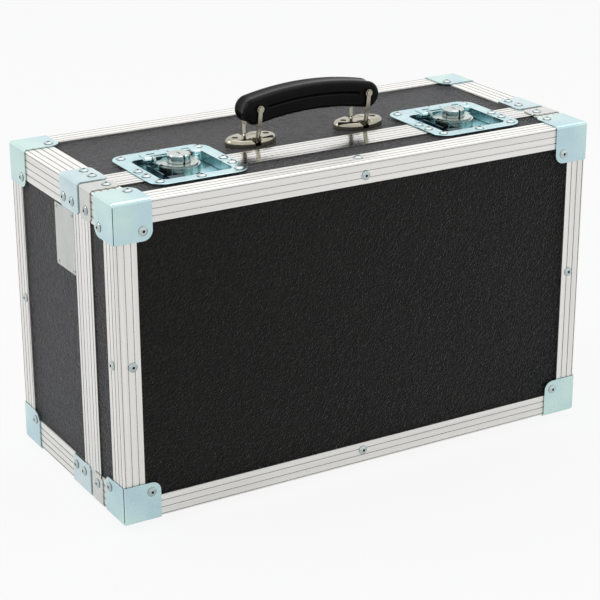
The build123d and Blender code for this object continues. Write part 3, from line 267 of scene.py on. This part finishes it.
def extruded_material(name, drawn, rough):
    """Satin aluminium with fine lines, drawn along y or round the ring, slightly worn edges, and painted
    shade in its grooves and along its steps.
    """
    line_along, line_across = 6.0, 1300.0
    band_along, band_across = 2.0, 150.0
    g = Surface(name)
    if drawn == "along y":
        streak = g.noise(g.place((line_across, line_along, line_across)), 1.0, detail=4.0, rough=0.6)
        broad = g.noise(g.place((band_across, band_along, band_across)), 1.0, detail=2.0)
    else:
        streak = ring_noise(g, line_along, line_across, detail=4.0)
        broad = ring_noise(g, band_along, band_across, detail=2.0)
    smudge = g.noise(g.place(), scale=28.0, detail=4.0, rough=0.6)
    scratch = g.noise(g.place(scale=(90.0, 90.0, 900.0), rotation=(0.4, 0.3, 0.7)), 1.0, detail=2.0)
    tone = g.total((streak, 0.45), (broad, 0.55))
    colour = g.ramp(tone, start=(0.34, (0.80, 0.79, 0.755)), end=(0.66, (0.95, 0.94, 0.91)))
    worn = g.math("MULTIPLY", g.edge_mask(radius=0.0006), 0.5)
    colour = g.mix(worn, colour, (0.93, 0.93, 0.91))
    # Painted shade: dark outlines along the edging's steps and lips, and darker grooves.
    colour = g.crevice_shade(colour, reach=0.006, darkest=0.03, shut=0.48, clear=0.6)
    patchy = g.total((streak, 0.6), (smudge, 0.4))
    height = g.total((streak, 1.0), (scratch, 0.3))
    g.feed(g.shader, Base_Color=colour, Metallic=1.0)
    g.feed(g.shader, Roughness=g.spread(patchy, between=(0.3, 0.7), to=rough))
    g.feed(g.shader, Normal=g.bump(height, strength=0.14, depth=0.00006))
    return g.material


def plated_material(name, dark, light, rough, wear=0.5, tints=None, gap=(0.0026, 0.02)):
    """Zinc or nickel plate: faint clouding, fine scratches, brighter worn edges and painted shade in its
    gaps.

    Two tints, where given, drift into each other over the plate. The gap holds the reach and levels of
    the painted shade in its narrow gaps.
    """
    g = Surface(name)
    where = g.place()
    cloud = g.noise(where, scale=60.0, detail=4.0, rough=0.6, distortion=0.4)
    patch = g.noise(where, scale=12.0, detail=2.0)
    grain = g.noise(where, scale=900.0, detail=3.0, rough=0.6)
    scratch_a = g.noise(g.place(scale=(40.0, 1200.0, 500.0), rotation=(0.2, 0.5, 0.5)), 1.0, detail=2.0)
    scratch_b = g.noise(g.place(scale=(1100.0, 60.0, 700.0), rotation=(0.6, 0.1, -0.4)), 1.0, detail=2.0)
    scratches = g.math("ADD", scratch_a, scratch_b)
    tone = g.total((cloud, 0.5), (patch, 0.5))
    colour = g.ramp(tone, start=(0.32, dark), end=(0.68, light))
    if tints is not None:
        drift = g.spread(g.noise(where, scale=22.0, detail=1.0, rough=0.4), between=(0.38, 0.62))
        colour = g.mix(0.6, colour, g.mix(drift, *tints))
    worn = g.math("MULTIPLY", g.edge_mask(radius=0.0007), wear)
    colour = g.mix(worn, colour, tuple(min(1.0, 1.25 * part) for part in light))
    patchy = g.total((grain, 0.5), (scratches, 0.25))
    height = g.total((scratches, 0.5), (grain, 1.0))
    # Painted shade: the plate darkens towards near black in its gaps and along the edges of what lies on
    # it.
    g.feed(g.shader, Base_Color=g.crevice_shade(colour, *gap), Metallic=1.0)
    g.feed(g.shader, Roughness=g.spread(patchy, between=(0.3, 0.7), to=rough))
    g.feed(g.shader, Normal=g.bump(height, strength=0.1, depth=0.00006))
    return g.material


def moulded_material(name, dark, light, rough, grain_scale, depth):
    """Moulded plastic or rubber with a fine grain, slightly rubbed edges and painted shade in its gaps.
    """
    gloss_change = 0.07
    g = Surface(name)
    where = g.place()
    grain = g.noise(where, grain_scale, detail=4.0, rough=0.6)
    cloud = g.noise(where, scale=40.0, detail=3.0)
    colour = g.ramp(cloud, start=(0.35, dark), end=(0.65, light))
    rubbed = g.math("MULTIPLY", g.edge_mask(radius=0.0008), 0.35)
    colour = g.mix(rubbed, colour, tuple(2 * part for part in light))
    ends = (rough - gloss_change, rough + gloss_change)
    shine = g.spread(g.math("ADD", cloud, grain), between=(0.6, 1.4), to=ends)
    # Painted shade: the colour darkens towards near black in narrow gaps.
    colour = g.crevice_shade(colour, reach=0.003, darkest=0.2)
    g.feed(g.shader, Base_Color=colour, Roughness=shine, Specular_IOR_Level=0.1)
    g.feed(g.shader, Normal=g.bump(grain, strength=0.25, depth=depth))
    return g.material


def foam_material():
    """Charcoal open-cell foam: pores, a soft nap and no gloss."""
    g = Surface("foam_cells")
    where = g.place()
    pore = g.cells(where, scale=900.0)
    nap = g.noise(where, scale=240.0, detail=5.0, rough=0.65)
    cloud = g.noise(where, scale=20.0, detail=3.0)
    tone = g.total((nap, 0.6), (cloud, 0.4))
    colour = g.ramp(tone, start=(0.3, (0.022, 0.022, 0.024)), end=(0.7, (0.052, 0.052, 0.056)))
    g.feed(g.shader, Base_Color=colour, Roughness=0.95, Specular_IOR_Level=0.2)
    g.feed(g.shader, Sheen_Weight=0.25, Sheen_Roughness=0.6)
    g.feed(g.shader, Normal=g.bump(g.math("ADD", pore, nap), strength=0.6, depth=0.0004))
    return g.material


def brushed_material(name):
    """Bare plate, brushed along its height."""
    g = Surface(name)
    streak = g.noise(g.place(scale=(900.0, 1800.0, 14.0)), 1.0, detail=4.0, rough=0.6)
    cloud = g.noise(g.place(), scale=50.0, detail=3.0)
    tone = g.total((streak, 0.7), (cloud, 0.3))
    colour = g.ramp(tone, start=(0.3, (0.50, 0.51, 0.49)), end=(0.7, (0.72, 0.73, 0.71)))
    g.feed(g.shader, Base_Color=colour, Metallic=1.0)
    g.feed(g.shader, Roughness=g.spread(streak, between=(0.3, 0.7), to=(0.28, 0.46)))
    g.feed(g.shader, Normal=g.bump(streak, strength=0.2, depth=0.00006))
    return g.material


BOARD = board_material()
FOAM = foam_material()
PLATE = brushed_material("plate_brushed")
ROUND_ALU = extruded_material("aluminium_round", drawn="round the ring", rough=(0.42, 0.56))
DEPTH_ALU = extruded_material("aluminium_depth", drawn="along y", rough=(0.42, 0.56))
CLOSURE_ALU = extruded_material("aluminium_closure", drawn="round the ring", rough=(0.1, 0.2))
CORNER_ZINC = plated_material(
    "zinc_corner", dark=(0.52, 0.71, 0.73), light=(0.70, 0.87, 0.87), rough=(0.18, 0.32),
    tints=BLUE_GREEN)
BRACE_ZINC = plated_material(
    "zinc_brace", dark=(0.56, 0.72, 0.76), light=(0.74, 0.86, 0.88), rough=(0.18, 0.3))
# A paler, more neutral copy of the brace zinc for the lid braces: its tint stands for how they reflect, a
# painted reflection.
PALE_REFLECTION_ZINC = plated_material(
    "zinc_pale_painted_reflection", dark=(0.62, 0.64, 0.62), light=(0.80, 0.80, 0.76), rough=(0.2, 0.32))
LATCH_ZINC = plated_material(
    "zinc_latch", dark=(0.42, 0.66, 0.72), light=(0.68, 0.88, 0.90), rough=(0.12, 0.24))
DRUM_ZINC = plated_material(
    "zinc_drum", dark=(0.42, 0.48, 0.47), light=(0.70, 0.76, 0.72), rough=(0.14, 0.28))
# The latch hook's near-black teal stands for the shade beside the drum: painted shade.
HOOK_SHADE_ZINC = plated_material(
    "zinc_hook_painted_shade", dark=(0.02, 0.05, 0.075), light=(0.07, 0.13, 0.17), rough=(0.16, 0.3))
# The rivets' wide gap setting paints shade round each head where it meets the plate and in its dimple.
RIVET_ZINC = plated_material(
    "zinc_rivet", dark=(0.38, 0.46, 0.47), light=(0.64, 0.71, 0.70), rough=(0.12, 0.22), wear=0.8,
    gap=(0.006, 0.02, 0.5, 0.97))
NICKEL = plated_material(
    "nickel_warm", dark=(0.34, 0.32, 0.25), light=(0.54, 0.51, 0.42), rough=(0.12, 0.24), wear=0.7)
STRIP_STEEL = plated_material(
    "strip_steel", dark=(0.25, 0.25, 0.26), light=(0.36, 0.36, 0.37), rough=(0.3, 0.45))
GRIP = moulded_material(
    "grip_moulded", dark=(0.0012, 0.0013, 0.0013), light=(0.003, 0.003, 0.0032), rough=0.29,
    grain_scale=1800.0, depth=0.00006)
RUBBER = moulded_material(
    "foot_rubber", dark=(0.012, 0.012, 0.012), light=(0.022, 0.022, 0.021), rough=0.75,
    grain_scale=900.0, depth=0.0002)

# Words in the CAD nodes' names and the material they get: the first rule that fits holds
RULES = [
    (("panel",), BOARD),
    (("depth_edging",), DEPTH_ALU),
    (("closure",), CLOSURE_ALU),
    (("edging",), ROUND_ALU),
    (("rivets", "foot_screws", "hinge_pins", "washer", "wing_pins"), RIVET_ZINC),
    (("nameplate",), PLATE),
    (("feet",), RUBBER),
    (("corners", "hinge_leaves"), CORNER_ZINC),
    (("lid_braces",), PALE_REFLECTION_ZINC),
    (("base_braces",), BRACE_ZINC),
    (("hook",), HOOK_SHADE_ZINC),
    (("rotor",), DRUM_ZINC),
    (("latch",), LATCH_ZINC),
    (("grip_core",), STRIP_STEEL),
    (("grip_pins", "loop", "bracket", "handle_screws"), NICKEL),
    (("handle_grip",), GRIP),
    (("foam",), FOAM),
]


def material_of(node):
    """The material of a CAD node."""
    return next(material for words, material in RULES if any(word in node for word in words))


for name, thing in nodes.items():
    for place in thing.material_slots:
        place.material = material_of(name)


# Foam lining: soft-edged pads in place of the plain boxes
def softened(piece):
    """The piece's mesh with its edges rounded off."""
    remesh = piece.modifiers.new("remesh", "REMESH")
    remesh.mode = "VOXEL"
    remesh.voxel_size = PAD_VOXEL
    relax = piece.modifiers.new("relax", "SMOOTH")
    relax.factor = PAD_RELAX
    relax.iterations = PAD_PASSES
    bpy.context.view_layer.update()
    made = bpy.data.meshes.new_from_object(piece.evaluated_get(bpy.context.evaluated_depsgraph_get()))
    piece.modifiers.clear()
    return made


def make_uneven(mesh, low, high):
    """Moves the surface in and out a little, and keeps it inside the box from low to high."""
    normals = [vertex.normal.copy() for vertex in mesh.vertices]
    for vertex, normal in zip(mesh.vertices, normals):
        fine = noise.noise(vertex.co * PAD_FINE_WAVES)
        wave = noise.noise(vertex.co * PAD_BROAD_WAVES) + PAD_FINE_SHARE * fine
        vertex.co += normal * (wave - PAD_SINK) * PAD_WAVE_DEPTH
        for axis in range(3):
            vertex.co[axis] = min(max(vertex.co[axis], low[axis]), high[axis])


def lining(node, body):
    """Soft pads that stand for a foam node: its own boxes, softened and slightly uneven."""
    piece = bpy.data.objects.new(f"{node}_pads", nodes[node].data.copy())
    bpy.context.scene.collection.objects.link(piece)
    piece.data = softened(piece)
    make_uneven(piece.data, *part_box(node))
    for polygon in piece.data.polygons:
        polygon.use_smooth = True
    piece.data.materials.clear()
    piece.data.materials.append(FOAM)
    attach(piece, body)
    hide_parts(node)


lining("lid_foam", "lid")
lining("base_foam", "base")


# Floor, light and camera
def floor():
    """A pale floor that shows as white and keeps the case's soft shadow."""
    bpy.ops.mesh.primitive_plane_add(size=FLOOR_SIZE, location=(0, 0, 0))
    plane = bpy.context.object
    plane.name = "studio_floor"
    g = Surface("studio_floor")
    g.feed(g.shader, Base_Color=FLOOR_TONE, Roughness=0.9, Specular_IOR_Level=0.1)
    rays = g.node("ShaderNodeLightPath")
    share = g.total((g.seen(rays), FLOOR_GLOW), (rays.outputs["Is Camera Ray"], FLOOR_CAMERA_GLOW))
    glow = g.feed(g.node("ShaderNodeEmission"), Color=WHITE, Strength=1.0)
    shown = g.mix_shaders(share, g.shader.outputs["BSDF"], glow.outputs["Emission"])
    g.link(shown, g.out.inputs["Surface"])
    plane.data.materials.append(g.material)


def sky():
    """White where it is seen or mirrored, and a softer, cooler light on the case."""
    world = bpy.data.worlds.new("studio")
    bpy.context.scene.world = world
    world.use_nodes = True
    g = Graph(world.node_tree)
    lit = g.feed(g.node("ShaderNodeBackground"), Color=SKY_TONE, Strength=SKY_LIGHT)
    white = g.feed(g.node("ShaderNodeBackground"), Color=WHITE, Strength=1.0)
    seen = g.seen(g.node("ShaderNodeLightPath"))
    shown = g.mix_shaders(seen, lit.outputs["Background"], white.outputs["Background"])
    g.link(shown, g.node("ShaderNodeOutputWorld").inputs["Surface"])


def area_lamp(name, place, aim, size, power):
    """A square lamp, its side in metres and its power in watts."""
    data = bpy.data.lights.new(name, "AREA")
    data.shape = "SQUARE"
    data.size = size
    data.energy = power
    lamp = bpy.data.objects.new(name, data)
    bpy.context.scene.collection.objects.link(lamp)
    lamp.location = place
    lamp.rotation_euler = (Vector(aim) - Vector(place)).to_track_quat("-Z", "Y").to_euler()


def camera():
    """The fitted camera: azimuth from the front, elevation, and roll about its own line of sight."""
    az, el, roll = (math.radians(angle) for angle in (CAM_AZ, CAM_EL, CAM_ROLL))
    right = Vector((math.cos(az), math.sin(az), 0))
    back = Vector((math.sin(az) * math.cos(el), -math.cos(az) * math.cos(el), math.sin(el)))
    up = back.cross(right)
    turn = Matrix((right, up, back)).transposed() @ Matrix.Rotation(roll, 3, "Z")
    data = bpy.data.cameras.new("camera")
    data.lens = LENS
    data.sensor_width = SENSOR
    data.clip_start = CLIP_START
    data.clip_end = CLIP_END
    made = bpy.data.objects.new("camera", data)
    made.matrix_world = Matrix.Translation(CAM_AT) @ turn.to_4x4()
    bpy.context.scene.collection.objects.link(made)
    bpy.context.scene.camera = made


floor()
sky()
area_lamp("key", place=(0.5, 0.2, 2.5), aim=(0, 0, 0.15), size=2.5, power=16.5)
area_lamp("side", place=(-1.6, 0.7, 1.5), aim=(0, 0, 0.25), size=1.0, power=9.0)
camera()
bpy.context.scene.view_settings.view_transform = "Standard"
